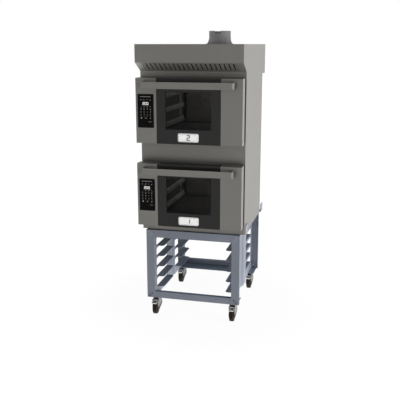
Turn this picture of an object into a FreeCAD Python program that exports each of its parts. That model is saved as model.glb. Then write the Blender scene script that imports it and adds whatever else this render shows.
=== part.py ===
import FreeCAD, Part
import math
import os

from FreeCAD import Vector

# Two stacked convection ovens under a louvred hood, on a rolling tray-rack stand.
# Millimetres. +X is the viewer's right, -Y the front, +Z up. The origin is on the floor,
# under the middle of the whole object's box.

# Driving dimensions of the ovens
casing_width = 600.0
casing_depth = 540.0
casing_height = 406.0
sheet = 1.5
spacer_height = 64.0
spacer_flange = 30.0

# Driving dimensions of the doors
door_side_gap = 2.0
door_top_gap = 4.0
door_thickness = 58.0
door_gap = 32.5
door_lift = 46.0
column_width = 118.0
glass_side_gap = 1.0
outer_glass_thickness = 6.0
inner_glass_thickness = 4.0
inner_glass_lap = 12.0
rail_height = 34.0
rail_drop = 8.0
panel_window_side = 29.0
panel_window_end = 58.0

# Driving dimensions of the handles and control panels
handle_side_inset = 43.0
handle_height = 36.0
handle_reach = 50.0
handle_drop = 19.0
handle_sheet = 2.0
handle_bend = 5.0
handle_foot = 20.0
fascia_width = 91.0
fascia_height = 183.0
fascia_thickness = 2.0
fascia_side = 12.0
fascia_lift = 86.0
fascia_corner = 4.0

# Driving dimensions of the door hinges
hinge_set_back = 8.0
hinge_lift = 8.0
hinge_pin_radius = 4.0
hinge_clearance = 0.05
hinge_lug_radius = 7.5
hinge_lug_thickness = 6.0
hinge_lug_inset = 10.0
hinge_bracket_width = 14.0
hinge_bracket_gap = 2.0
hinge_bracket_radius = 7.5
hinge_pin_proud = 2.0

# Driving dimensions of the rims, gaskets and cavities
rim_inset = 8.0
rim_lift = 24.0
rim_drop = 2.0
gasket_thickness = 6.0
gasket_clearance = 0.3
gasket_inset = 14.0
gasket_width = 16.0
cavity_side_room = 120.0
cavity_head_room = 28.0
cavity_lift = 58.0
cavity_back_room = 79.5

# Driving dimensions of the tray racks
rack_side_gap = 10.0
rack_levels = 3
rack_first = 22.0
rack_top_gap = 63.0
rack_band = 25.0
rack_ledge = 12.0
rack_post_width = 24.0
rack_front_gap = 8.0
rack_back_gap = 8.0
rack_post_front_inset = 36.0
rack_post_back_inset = 60.0
rack_peg_radius = 3.0
rack_foot_gap = 10.0

# Driving dimensions of the fans, heaters and cable glands
fan_heater_gap = 17.0
fan_ring_width = 27.0
fan_blade_inset = 3.0
fan_blades = 12
fan_depth = 16.0
fan_hub_radius = 13.0
fan_back_gap = 3.5
shaft_radius = 5.0
shaft_clearance = 0.05
shaft_hole_clearance = 2.0
chamber_depth = 25.0
motor_radius = 45.0
motor_length = 44.0
motor_plate = 120.0
motor_plate_thickness = 3.0
heater_wall_gap = 25.0
heater_tube_radius = 4.0
heater_terminal_spacing = 40.0
heater_terminal_length = 30.0
heater_clearance = 0.05
heater_elbow_proud = 0.6
baffle_side_gap = 26.0
baffle_end_gap = 8.0
baffle_peg_radius = 4.0
baffle_peg_inset = 14.0
intake_inset = 6.0
intake_slots = 17
intake_slot_height = 3.0
gland_bore_radius = 5.0
gland_neck_radius = 10.0
gland_flange_radius = 14.0
gland_outside = 14.0
gland_inside = 8.0
gland_clearance = 0.05
gland_side = 90.0
gland_lift = 60.0

# Driving dimensions of the hood and flue
hood_height = 174.0
hood_front_overhang = 87.5
hood_back_overhang = 91.5
hood_face_height = 97.0
hood_foot_height = 30.0
louvre_count = 20
louvre_end_gap = 7.0
louvre_slot_width = 6.5
louvre_slot_length = 75.0
louvre_window_side = 38.0
louvre_window_margin = 8.0
louvre_lap = 6.0
hood_base_rim = 70.0
filter_lap = 12.0
filter_height = 20.0
filter_slats = 14
filter_slat_thickness = 3.0
filter_frame = 8.0
flue_radius = 65.0
flue_collar_height = 36.0
flue_transition_height = 39.0
flue_square = 130.0
flue_square_corner = 6.0
flue_flat_spread = 38.0
flue_flange = 142.0
flue_flange_thickness = 2.0
flue_side = 50.0
flue_from_back = 173.0
flue_notch_width = 36.0
flue_notch_depth = 15.5

# Driving dimensions of the stand
stand_side_inset = 22.0
stand_front_overhang = 12.5
stand_back_overhang = 121.5
frame_height = 419.0
frame_sheet = 2.0
post_face = 47.0
post_lip = 18.0
window_middle_gap = 172.0
window_height = 45.0
window_corner = 12.0
window_end_inset = 43.0
rib_depth = 11.0
rib_slant = 20.0
rib_front_gap = 50.0
rib_back_gap = 6.0
runner_levels = 5
runner_first = 58.5
runner_pitch = 63.5
runner_width = 45.0
runner_chamfer = 12.0
top_beam_height = 45.0
bottom_beam_height = 38.0
beam_flange = 24.0
caster_flange = 115.0
caster_flange_inset = 10.0
tab_clearance = 0.5
tab_inset = 6.0
bolt_radius = 3.0
bolt_head_radius = 5.5
bolt_head_height = 3.0
bolt_length = 12.0
bolt_clearance = 0.05
bolt_near = (18.0, 11.0)
bolt_far = (30.0, 26.0)
pad_thickness = 4.0
pad_length = 40.0
pad_width = 30.0
pad_inset = 120.0
retainer_thickness = 3.0
retainer_length = 73.0
retainer_height = 50.0
retainer_foot = 55.0
retainer_gap = 1.0
retainer_from_end = 32.0

# Driving dimensions of the casters
caster_height = 111.0
caster_inset_x = 44.0
caster_inset_y = 57.0
wheel_radius = 37.5
wheel_width = 25.0
wheel_round = 5.0
wheel_hub_radius = 11.0
wheel_hub_proud = 1.0
caster_trail = 30.0
plate_size = 64.0
plate_thickness = 3.5
race_radius = 22.0
race_height = 5.5
king_pin_radius = 5.0
king_pin_head_radius = 9.0
king_pin_head_height = 3.0
fork_sheet = 2.5
fork_crown = 4.0
fork_wheel_gap = 1.5
fork_crown_reach = 22.0
fork_end_radius = 18.0
fork_heel_reach = 40.0
fork_heel_high = 56.0
fork_heel_low = 44.0
fork_web_drop = 36.0
fork_pedal_end = 11.0
axle_radius = 4.0
axle_head_radius = 7.0
axle_head_height = 3.0
running_clearance = 0.05
swivel_gap = 0.3
pedal_pin_radius = 3.0
pedal_pin_ahead = 34.0
pedal_pin_below = 17.5
pedal_barrel_radius = 5.0
pedal_side_gap = 0.5
pedal_length = 40.0
pedal_thickness = 4.0
pedal_droop = 6.0
pedal_toe_ahead = 8.0
pedal_toe_length = 7.5
pedal_toe_thickness = 5.0

# Sizes that follow from the casings
door_width = casing_width - 2 * door_side_gap
door_height = casing_height - door_lift - door_top_gap
glass_width = door_width - 2 * (column_width + glass_side_gap)
panel_window_width = glass_width - 2 * panel_window_side
panel_window_height = door_height - 2 * panel_window_end
handle_length = door_width - 2 * handle_side_inset
cavity_width = casing_width - 2 * cavity_side_room
cavity_height = casing_height - door_lift - cavity_lift - cavity_head_room
rack_pitch = (cavity_height - rack_first - rack_band - rack_top_gap) / (rack_levels - 1)
heater_radius = cavity_height / 2 - heater_wall_gap
fan_radius = heater_radius - fan_heater_gap
fan_eye_radius = fan_radius - fan_ring_width
intake_radius = fan_eye_radius - intake_inset
louvre_window_width = casing_width - 2 * louvre_window_side
louvre_pitch = (louvre_window_width - 2 * louvre_end_gap) / louvre_count
stand_width = casing_width - 2 * stand_side_inset
stand_depth = stand_front_overhang + casing_depth + stand_back_overhang
window_length = (stand_depth - 2 * window_end_inset - window_middle_gap) / 2

# Heights of the stack
z_frame_bottom = caster_height
z_stand_top = z_frame_bottom + frame_height
z_lower_oven = z_stand_top + pad_thickness
z_spacer = z_lower_oven + casing_height
z_upper_oven = z_spacer + spacer_height
z_hood = z_upper_oven + casing_height
z_hood_top = z_hood + hood_height

# Depths of the stack, centred from the handles' front to the stand's back
overall_depth = handle_reach + door_thickness + door_gap + casing_depth + stand_back_overhang
y_handle_front = -overall_depth / 2
y_door_front = y_handle_front + handle_reach
y_door_back = y_door_front + door_thickness
y_casing_front = y_door_back + door_gap
y_casing_back = y_casing_front + casing_depth
y_stand_back = y_casing_back + stand_back_overhang
y_stand_front = y_stand_back - stand_depth
y_rim_front = y_door_back + gasket_clearance + gasket_thickness
y_cavity_back = y_casing_back - cavity_back_room
y_baffle = y_cavity_back - chamber_depth
y_hinge = y_door_back + hinge_set_back
y_hood_front = y_casing_front - hood_front_overhang
y_hood_back = y_casing_back + hood_back_overhang

# Half widths
half_casing = casing_width / 2
half_door = door_width / 2
half_glass = glass_width / 2
half_cavity = cavity_width / 2
half_stand = stand_width / 2
half_web = half_stand - post_face


def box(x0, x1, y0, y1, z0, z1):
    """A box between two corners."""
    return Part.makeBox(x1 - x0, y1 - y0, z1 - z0, Vector(x0, y0, z0))


def rod(radius, start, end):
    """A cylinder from one point to another."""
    span = Vector(*end) - Vector(*start)
    return Part.makeCylinder(radius, span.Length, Vector(*start), span)


def prism(points, sweep):
    """A polygon of 3-D points pushed along a vector."""
    corners = [Vector(*point) for point in points]
    wire = Part.makePolygon(corners + corners[:1])
    return Part.Face(wire).extrude(Vector(*sweep))


def prism_x(points, x0, x1):
    """A polygon of (y, z) points pushed along X."""
    return prism([(x0, y, z) for y, z in points], (x1 - x0, 0, 0))


def fuse(shapes):
    """One solid from shapes that touch or overlap."""
    return shapes[0].multiFuse(shapes[1:]).removeSplitter()


def cut(shape, tools):
    """A shape with tools taken away."""
    return shape.cut(tools) if tools else shape


def mirror_x(shape):
    """The same shape on the other side of the middle plane."""
    return shape.mirror(Vector(0, 0, 0), Vector(1, 0, 0))


def both_sides(shape):
    """A shape and its mirror image."""
    return [shape, mirror_x(shape)]


def edges_along(shape, direction, keep):
    """Straight edges along a direction whose middle passes a test."""
    found = []
    for edge in shape.Edges:
        span = edge.Vertexes[-1].Point - edge.Vertexes[0].Point
        if span.Length > 0 and abs(span.normalize().dot(direction)) > 0.999 and keep(edge.CenterOfMass):
            found.append(edge)
    return found


def rounded(shape, direction, radius, keep=lambda middle: True):
    """A shape with its edges along a direction rounded."""
    return shape.makeFillet(radius, edges_along(shape, direction, keep))


def ring_y(half_out, z0, z1, width, y0, y1):
    """A rectangular ring facing the front, with a given wall width inside its outline."""
    outer = box(-half_out, half_out, y0, y1, z0, z1)
    inner = box(-half_out + width, half_out - width, y0, y1, z0 + width, z1 - width)
    return outer.cut(inner)


def save(name, solids):
    """Writes one node: a single solid or a group of separate solids."""
    shape = Part.makeCompound(solids) if isinstance(solids, list) else solids
    for solid in shape.Solids:
        if not solid.isValid():
            raise ValueError("bad solid in " + name)
    shape.exportStep("parts/" + name + ".step")


# Stand

def runner_heights():
    """The tops of the tray runners."""
    return [z_frame_bottom + runner_first + level * runner_pitch for level in range(runner_levels)]


def window_starts():
    """The front ends of the two columns of windows in a side frame."""
    return [y_stand_front + window_end_inset, y_stand_back - window_end_inset - window_length]


def side_frame():
    """The right side: a folded sheet with flanges, windows and bent-in tray runners."""
    x_out = half_stand
    x_in = half_web
    t = frame_sheet
    z_web = z_frame_bottom + t
    folds = [
        ribbed_web(x_in, z_web),
        box(x_in, x_out, y_stand_front, y_stand_front + t, z_frame_bottom, z_stand_top),
        box(x_in, x_out, y_stand_back - t, y_stand_back, z_frame_bottom, z_stand_top),
        box(x_out - t, x_out, y_stand_front, y_stand_front + post_lip, z_web, z_stand_top),
        box(x_out - t, x_out, y_stand_back - post_lip, y_stand_back, z_web, z_stand_top),
        box(x_in, x_out, y_stand_front, y_stand_back, z_stand_top - t, z_stand_top),
    ]
    windows = []
    for z_top in runner_heights():
        for y0 in window_starts():
            y1 = y0 + window_length
            folds.append(tray_runner(x_in, y0, y1, z_top))
            hole = box(x_in - t, x_in + 2 * t, y0, y1, z_top, z_top + window_height)
            windows.append(rounded(hole, Vector(1, 0, 0), window_corner, lambda middle: middle.z > z_top + t))
    return cut(fuse(folds), windows + beam_slots() + bolt_holes())


def ribbed_web(x_web, z_web):
    """The side's upright sheet, with a pressed rib between its two columns of windows."""
    front_windows, rear_windows = window_starts()
    y0 = front_windows + window_length + rib_front_gap
    y1 = rear_windows - rib_back_gap
    line = [(0, y_stand_front), (0, y0), (rib_depth, y0 + rib_slant),
            (rib_depth, y1 - rib_slant), (0, y1), (0, y_stand_back)]
    inner = [(x_web + x, y, z_web) for x, y in line]
    outer = [(x_web + frame_sheet + x, y, z_web) for x, y in reversed(line)]
    return prism(inner + outer, (0, 0, z_stand_top - z_web))


def tray_runner(x_web, y0, y1, z_top):
    """A tray runner bent inwards from the lower edge of a window."""
    x_tip = x_web - runner_width
    c = runner_chamfer
    root = x_web + frame_sheet
    z = z_top - frame_sheet
    outline = [(root, y0, z), (x_tip + c, y0, z), (x_tip, y0 + c, z),
               (x_tip, y1 - c, z), (x_tip + c, y1, z), (root, y1, z)]
    return prism(outline, (0, 0, frame_sheet))


def beam_rows():
    """Bottom and top of the two rows of cross beams, with the top of their end tabs."""
    z_low = z_frame_bottom
    z_high = z_stand_top - top_beam_height
    return [(z_low, z_low + bottom_beam_height, z_low + bottom_beam_height),
            (z_high, z_stand_top, z_stand_top - frame_sheet - tab_clearance)]


def tab_planes():
    """The near and far faces of the beams' end tabs, behind the front and rear flanges."""
    t = frame_sheet
    return [(y_stand_front + t, y_stand_front + 2 * t), (y_stand_back - 2 * t, y_stand_back - t)]


def beam_slots():
    """Slots in a side frame's web that the beams' end tabs pass through."""
    c = tab_clearance
    slots = []
    for z0, _, z_tab in beam_rows():
        for front, (y0, y1) in zip((True, False), tab_planes()):
            near = y0 if front else y0 - c
            far = y1 + c if front else y1
            slots.append(box(half_web - c, half_web + frame_sheet + c, near, far, z0, z_tab + c))
    return slots


def bolt_places():
    """The bolts' places on the right posts as (x, z): two at a slant in each corner."""
    places = []
    for inset, rise in (bolt_near, bolt_far):
        places.append((half_stand - inset, z_stand_top - rise))
        places.append((half_stand - inset, z_frame_bottom + rise))
    return places


def bolt_holes():
    """Clearance holes through the flanges and tabs of the right posts."""
    radius = bolt_radius + bolt_clearance
    reach = 3 * frame_sheet
    holes = []
    for x, z in bolt_places():
        holes.append(rod(radius, (x, y_stand_front - reach, z), (x, y_stand_front + reach, z)))
        holes.append(rod(radius, (x, y_stand_back - reach, z), (x, y_stand_back + reach, z)))
    return holes


def bolts():
    """All frame bolts: heads on the front flanges' faces and on the rear tabs' inner faces."""
    shapes = []
    for x, z in bolt_places():
        y = y_stand_front
        head = rod(bolt_head_radius, (x, y - bolt_head_height, z), (x, y, z))
        front = head.fuse(rod(bolt_radius, (x, y, z), (x, y + bolt_length, z)))
        y = y_stand_back - 2 * frame_sheet
        head = rod(bolt_head_radius, (x, y - bolt_head_height, z), (x, y, z))
        rear = head.fuse(rod(bolt_radius, (x, y, z), (x, y_stand_back, z)))
        shapes += both_sides(front) + both_sides(rear)
    return shapes


def cross_beam(row, front):
    """A channel between the side frames, with end tabs behind their flanges."""
    z0, z1, z_tab = beam_rows()[row]
    y0, y1 = tab_planes()[0 if front else 1]
    t = frame_sheet
    inside = half_web - tab_clearance
    tab_end = half_stand - frame_sheet - tab_inset
    y_fold = y1 if front else y0
    inward = 1 if front else -1
    lower = row == 0
    face = [box(-inside, inside, y0, y1, z0, z1)]
    face.append(box(-tab_end, tab_end, y0, y1, z0 + t, z_tab))
    deep = caster_flange - t if lower else beam_flange
    plate_half = half_stand - caster_flange_inset if lower else inside
    flanges = [(z0, plate_half, deep), (z1 - t, inside, beam_flange)]
    for z, half, depth in flanges:
        near, far = sorted((y_fold - inward * t, y_fold + inward * depth))
        face.append(box(-half, half, near, far, z, z + t))
    holes = bolt_holes()
    return cut(fuse(face), holes + [mirror_x(hole) for hole in holes])


def oven_pads():
    """Four rubber pads on the side frames, under the lower oven."""
    x0 = half_web + (post_face - pad_width) / 2
    pads = []
    for y in (y_casing_front + pad_inset, y_casing_back - pad_inset - pad_length):
        pads += both_sides(box(x0, x0 + pad_width, y, y + pad_length, z_stand_top, z_lower_oven))
    return pads


def oven_retainers():
    """Four angle brackets that stand up beside the lower oven."""
    t = retainer_thickness
    x_tab = half_casing + retainer_gap
    x_foot = x_tab + t - retainer_foot
    z = z_stand_top
    shapes = []
    for y in (y_stand_front + retainer_from_end, y_stand_back - retainer_from_end - retainer_length):
        foot = box(x_foot, x_tab + t, y, y + retainer_length, z, z + t)
        tab = box(x_tab, x_tab + t, y, y + retainer_length, z, z + retainer_height)
        shapes += both_sides(foot.fuse(tab).removeSplitter())
    return shapes


# Casters

def caster_places():
    """The stem axis of each caster."""
    x = half_stand - caster_inset_x
    y_front = y_stand_front + caster_inset_y
    y_rear = y_stand_back - caster_inset_y
    return {"front_left": (-x, y_front), "front_right": (x, y_front),
            "rear_left": (-x, y_rear), "rear_right": (x, y_rear)}


z_plate = z_frame_bottom - plate_thickness
z_race = z_plate - race_height
z_crown = z_race - swivel_gap - fork_crown
leg_inside = wheel_width / 2 + wheel_hub_proud + fork_wheel_gap
leg_outside = leg_inside + fork_sheet
z_pedal = z_crown + fork_crown - pedal_pin_below


def caster_top_plate(x, y):
    """The plate under the stand with its ball race and the king pin that holds the fork."""
    half = plate_size / 2
    z_head = z_crown - swivel_gap
    plate = box(x - half, x + half, y - half, y + half, z_plate, z_frame_bottom)
    race = rod(race_radius, (x, y, z_race), (x, y, z_plate))
    pin = rod(king_pin_radius, (x, y, z_head), (x, y, z_race))
    head = rod(king_pin_head_radius, (x, y, z_head - king_pin_head_height), (x, y, z_head))
    return fuse([plate, race, pin, head])


def caster_fork(x, y):
    """The fork with broad heels and a web behind the wheel, its axle and the brake's pivot pin."""
    y_axle = y - caster_trail
    y_pedal = y - pedal_pin_ahead
    reach = fork_crown_reach
    top = z_crown + fork_crown
    crown = box(x - leg_outside, x + leg_outside, y - reach, y + reach, z_crown, top)
    crown = cut(crown, [rod(king_pin_radius + running_clearance, (x, y, z_crown), (x, y, top))])
    web = box(x - leg_inside, x + leg_inside, y + reach - fork_sheet, y + reach,
              z_crown - fork_web_drop, z_crown)
    end = fork_end_radius
    heel_run = fork_heel_reach + caster_trail
    heel_rise = fork_heel_low - wheel_radius
    touch = math.atan2(heel_rise, heel_run) - math.acos(end / math.hypot(heel_run, heel_rise))
    low_end = (y_axle + end * math.cos(touch), wheel_radius + end * math.sin(touch))
    outline = [(y + reach, top), (y + reach, z_crown), (y + fork_heel_reach, fork_heel_high),
               (y + fork_heel_reach, fork_heel_low), low_end, (y_axle - end, wheel_radius),
               (y_pedal - fork_pedal_end, z_pedal), (y - reach, top)]
    sheets = [crown, web]
    for inner, outer in ((-leg_outside, -leg_inside), (leg_inside, leg_outside)):
        leg = prism_x(outline, x + inner, x + outer)
        foot = rod(end, (x + inner, y_axle, wheel_radius), (x + outer, y_axle, wheel_radius))
        sheets += [leg, foot]
    far = leg_outside + axle_head_height
    c = running_clearance
    holes = [rod(axle_radius + c, (x - far, y_axle, wheel_radius), (x + far, y_axle, wheel_radius)),
             rod(pedal_pin_radius + c, (x - far, y_pedal, z_pedal), (x + far, y_pedal, z_pedal))]
    fork = cut(fuse(sheets), holes)
    axle = headed_pin(x, y_axle, wheel_radius, axle_radius)
    pivot = headed_pin(x, y_pedal, z_pedal, pedal_pin_radius)
    return [fork, axle, pivot]


def headed_pin(x, y, z, radius):
    """A pin across the fork's two legs, headed at both ends."""
    head_radius = radius + axle_head_radius - axle_radius
    out = leg_outside
    far = out + axle_head_height
    return fuse([rod(radius, (x - out, y, z), (x + out, y, z)),
                 rod(head_radius, (x - far, y, z), (x - out, y, z)),
                 rod(head_radius, (x + out, y, z), (x + far, y, z))])


def caster_wheel(x, y):
    """A rounded wheel with a slightly proud hub, running on the axle."""
    y_axle = y - caster_trail
    half = wheel_width / 2
    hub_half = half + wheel_hub_proud
    centre = (y_axle, wheel_radius)
    tread = rod(wheel_radius, (x - half, *centre), (x + half, *centre))
    rims = [edge for edge in tread.Edges if edge.Closed]
    tread = tread.makeFillet(wheel_round, rims)
    hub = rod(wheel_hub_radius, (x - hub_half, *centre), (x + hub_half, *centre))
    bore = rod(axle_radius + running_clearance, (x - hub_half, *centre), (x + hub_half, *centre))
    return cut(fuse([tread, hub]), [bore])


def caster_brake(x, y):
    """A foot pedal on its pivot, with a toe that comes down close to the tread."""
    y_pin = y - pedal_pin_ahead
    half = leg_inside - pedal_side_gap
    centre = (y_pin, z_pedal)
    barrel = rod(pedal_barrel_radius, (x - half, *centre), (x + half, *centre))
    t = pedal_thickness
    y_tip = y_pin - pedal_length
    z_tip = z_pedal - pedal_droop
    tongue = prism_x([(y_pin, z_pedal + t / 2), (y_pin, z_pedal - t / 2),
                      (y_tip, z_tip - t / 2), (y_tip, z_tip + t / 2)], x - half, x + half)
    y_toe = y_pin - pedal_toe_ahead
    toe = box(x - half, x + half, y_toe, y_toe + pedal_toe_thickness, z_pedal - pedal_toe_length, z_pedal)
    bore = rod(pedal_pin_radius + running_clearance, (x - half, *centre), (x + half, *centre))
    return cut(fuse([barrel, tongue, toe]), [bore])


# Oven bodies

def cavity_span(z_oven):
    """The cavity's inner floor and ceiling."""
    z0 = z_oven + door_lift + cavity_lift
    return z0, z0 + cavity_height


def fan_centre(z_oven):
    """The height of the fan's axis."""
    return sum(cavity_span(z_oven)) / 2


def gland_places(z_oven):
    """The cable gland's axis in an oven's back."""
    return -half_casing + gland_side, z_oven + gland_lift


def chassis(z_oven):
    """Base and back, folded from one sheet, with the cable gland's hole."""
    half = half_casing - sheet
    y0 = y_casing_front + sheet
    base = box(-half, half, y0, y_casing_back, z_oven, z_oven + sheet)
    back = box(-half, half, y_casing_back - sheet, y_casing_back, z_oven, z_oven + casing_height - sheet)
    x, z = gland_places(z_oven)
    hole = rod(gland_neck_radius + gland_clearance, (x, y_casing_back - sheet, z), (x, y_casing_back, z))
    return cut(fuse([base, back]), [hole])


def casing_wrap(z_oven):
    """Top and sides, folded from one sheet."""
    y0 = y_casing_front + sheet
    z1 = z_oven + casing_height
    outer = box(-half_casing, half_casing, y0, y_casing_back, z_oven, z1)
    return outer.cut(box(-half_casing + sheet, half_casing - sheet, y0, y_casing_back, z_oven, z1 - sheet))


def front_frame(z_oven):
    """The front plate with a raised rim round the cavity's mouth."""
    z1 = z_oven + casing_height
    z_rim0, z_rim1 = rim_span(z_oven)
    half_rim = half_door - rim_inset
    cav0, cav1 = cavity_span(z_oven)
    plate = box(-half_casing, half_casing, y_casing_front, y_casing_front + sheet, z_oven, z1)
    rim = box(-half_rim, half_rim, y_rim_front, y_casing_front, z_rim0, z_rim1)
    t = sheet
    inside = box(-half_rim + t, half_rim - t, y_rim_front + t, y_casing_front + t, z_rim0 + t, z_rim1 - t)
    mouth = box(-half_cavity, half_cavity, y_rim_front, y_rim_front + t, cav0, cav1)
    return cut(fuse([plate, rim]), [inside, mouth])


def rim_span(z_oven):
    """Bottom and top of the rim behind the door."""
    z_door = z_oven + door_lift
    return z_door + rim_lift, z_door + door_height - rim_drop


def gasket(z_oven):
    """The seal on the rim, facing the door, kept within the rim's height."""
    half = half_cavity + gasket_inset + gasket_width
    cav0, cav1 = cavity_span(z_oven)
    rim0, rim1 = rim_span(z_oven)
    lap = gasket_inset + gasket_width
    z0 = max(cav0 - lap, rim0)
    z1 = min(cav1 + lap, rim1)
    return ring_y(half, z0, z1, gasket_width, y_door_back + gasket_clearance, y_rim_front)


def cavity(z_oven):
    """The liner: five walls open to the front, with holes for the fan's shaft and the heater."""
    z0, z1 = cavity_span(z_oven)
    t = sheet
    y0 = y_rim_front + sheet
    outer = box(-half_cavity - t, half_cavity + t, y0, y_cavity_back + t, z0 - t, z1 + t)
    inner = box(-half_cavity, half_cavity, y0, y_cavity_back, z0, z1)
    zc = fan_centre(z_oven)
    hole = rod(shaft_radius + shaft_hole_clearance, (0, y_cavity_back, zc), (0, y_cavity_back + t, zc))
    holes = [hole]
    for x in (-heater_terminal_spacing / 2, heater_terminal_spacing / 2):
        z = zc + heater_height(x)
        r = heater_tube_radius + heater_clearance
        holes.append(rod(r, (x, y_cavity_back, z), (x, y_cavity_back + t, z)))
    return cut(outer, [inner] + holes)


def heater_height(x):
    """The height of the heater ring over its centre, at a distance from the middle."""
    return math.sqrt(heater_radius ** 2 - x ** 2)


def tray_racks(z_oven):
    """Two side racks: angle rails on posts that are pegged to the cavity's walls."""
    z0 = cavity_span(z_oven)[0]
    t = sheet
    x_band = half_cavity - rack_side_gap
    y0 = y_rim_front + rack_front_gap
    y1 = y_baffle - rack_back_gap
    pieces = []
    tops = []
    for level in range(rack_levels):
        z = z0 + rack_first + level * rack_pitch
        pieces.append(box(x_band - t, x_band, y0, y1, z, z + rack_band))
        pieces.append(box(x_band - rack_ledge, x_band, y0, y1, z, z + t))
        tops.append(z + rack_band)
    z_foot = z0 + rack_foot_gap
    z_peg_low = (z_foot + z0 + rack_first) / 2
    z_peg_high = tops[-1] - rack_band / 2
    for y in (y0 + rack_post_front_inset, y1 - rack_post_back_inset - rack_post_width):
        pieces.append(box(x_band, x_band + t, y, y + rack_post_width, z_foot, tops[-1]))
        middle = y + rack_post_width / 2
        for z in (z_peg_low, z_peg_high):
            pieces.append(rod(rack_peg_radius, (x_band + t, middle, z), (half_cavity, middle, z)))
    return both_sides(fuse(pieces))


def fan_baffle(z_oven):
    """The plate in front of the fan, with an intake grille and pegs to the cavity's back."""
    z0, z1 = cavity_span(z_oven)
    half = half_cavity - baffle_side_gap
    low = z0 + baffle_end_gap
    high = z1 - baffle_end_gap
    zc = fan_centre(z_oven)
    plate = box(-half, half, y_baffle, y_baffle + sheet, low, high)
    slots = []
    step = 2 * intake_radius / intake_slots
    for index in range(intake_slots):
        z = zc + (index - (intake_slots - 1) / 2) * step
        reach = math.sqrt(intake_radius ** 2 - (z - zc) ** 2)
        slots.append(box(-reach, reach, y_baffle, y_baffle + sheet,
                         z - intake_slot_height / 2, z + intake_slot_height / 2))
    pegs = []
    for x in (-half + baffle_peg_inset, half - baffle_peg_inset):
        for z in (low + baffle_peg_inset, high - baffle_peg_inset):
            pegs.append(rod(baffle_peg_radius, (x, y_baffle + sheet, z), (x, y_cavity_back, z)))
    return fuse([cut(plate, slots)] + pegs)


def fan_wheel(z_oven):
    """A radial fan: back disc, blades, front ring and hub on the motor's shaft."""
    zc = fan_centre(z_oven)
    y1 = y_cavity_back - fan_back_gap
    y0 = y1 - fan_depth
    disc = rod(fan_radius, (0, y1 - sheet, zc), (0, y1, zc))
    hub = rod(fan_hub_radius, (0, y0, zc), (0, y1, zc))
    ring = rod(fan_radius, (0, y0, zc), (0, y0 + sheet, zc)).cut(
        rod(fan_eye_radius, (0, y0, zc), (0, y0 + sheet, zc)))
    pieces = [disc, hub, ring]
    blade = box(-sheet / 2, sheet / 2, y0 + sheet / 2, y1 - sheet / 2,
                zc + fan_eye_radius + fan_blade_inset, zc + fan_radius - fan_blade_inset)
    for index in range(fan_blades):
        turned = blade.copy()
        turned.rotate(Vector(0, 0, zc), Vector(0, 1, 0), index * 360.0 / fan_blades)
        pieces.append(turned)
    bore = rod(shaft_radius + shaft_clearance, (0, y0, zc), (0, y1, zc))
    return cut(fuse(pieces), [bore])


def fan_motor(z_oven):
    """The motor on the cavity's back, with its plate and the shaft that carries the fan."""
    zc = fan_centre(z_oven)
    y0 = y_cavity_back + sheet
    half = motor_plate / 2
    plate = box(-half, half, y0, y0 + motor_plate_thickness, zc - half, zc + half)
    y1 = y0 + motor_plate_thickness
    can = rod(motor_radius, (0, y1, zc), (0, y1 + motor_length, zc))
    shaft = rod(shaft_radius, (0, y_cavity_back - fan_back_gap - fan_depth, zc), (0, y0, zc))
    return fuse([plate, can, shaft])


def heater(z_oven):
    """A tube bent round the fan, with two terminals through the cavity's back."""
    x = heater_terminal_spacing / 2
    z = heater_height(x)
    bend = Part.Arc(Vector(-x, 0, z), Vector(0, 0, -heater_radius), Vector(x, 0, z)).toShape()
    along = bend.tangentAt(bend.FirstParameter)
    section = Part.Wire([Part.makeCircle(heater_tube_radius, Vector(-x, 0, z), along)])
    pieces = [Part.Wire([bend]).makePipeShell([section], True, False)]
    for side in (-x, x):
        pieces.append(Part.makeSphere(heater_tube_radius + heater_elbow_proud, Vector(side, 0, z)))
        pieces.append(rod(heater_tube_radius, (side, 0, z), (side, heater_terminal_length, z)))
    tube = fuse(pieces)
    tube.translate(Vector(0, y_cavity_back - fan_back_gap - fan_depth / 2, fan_centre(z_oven)))
    return tube


def cable_gland(z_oven):
    """A gland in the back that a supply cable passes through."""
    x, z = gland_places(z_oven)
    y0 = y_casing_back - sheet - gland_inside
    y1 = y_casing_back + gland_outside
    neck = rod(gland_neck_radius, (x, y0, z), (x, y1, z))
    flange = rod(gland_flange_radius, (x, y_casing_back, z), (x, y1, z))
    return cut(fuse([neck, flange]), [rod(gland_bore_radius, (x, y0, z), (x, y1, z))])


# Doors

def door_span(z_oven):
    """The door's lower and upper edges."""
    return z_oven + door_lift, z_oven + door_lift + door_height


def door_frame(z_oven):
    """Two folded side columns joined by rails behind the outer glass."""
    z0, z1 = door_span(z_oven)
    t = sheet
    x0 = half_glass + glass_side_gap
    y1 = y_door_back - t
    column = box(x0, half_door, y_door_front, y1, z0, z1)
    column = column.cut(box(x0 + t, half_door - t, y_door_front + t, y1, z0 + t, z1 - t))
    y_rail = y_door_front + outer_glass_thickness
    pieces = both_sides(column)
    for low, shelf in ((z1 - rail_drop - rail_height, z1 - rail_drop - t), (z0 + rail_drop, z0 + rail_drop)):
        pieces.append(box(-x0, x0, y_rail, y_rail + t, low, low + rail_height))
        pieces.append(box(-x0, x0, y_rail, y1, shelf, shelf + t))
    return fuse(pieces)


def panel_window(z_oven):
    """The see-through opening's half width, bottom and top."""
    z0 = door_span(z_oven)[0] + panel_window_end
    return panel_window_width / 2, z0, z0 + panel_window_height


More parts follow.
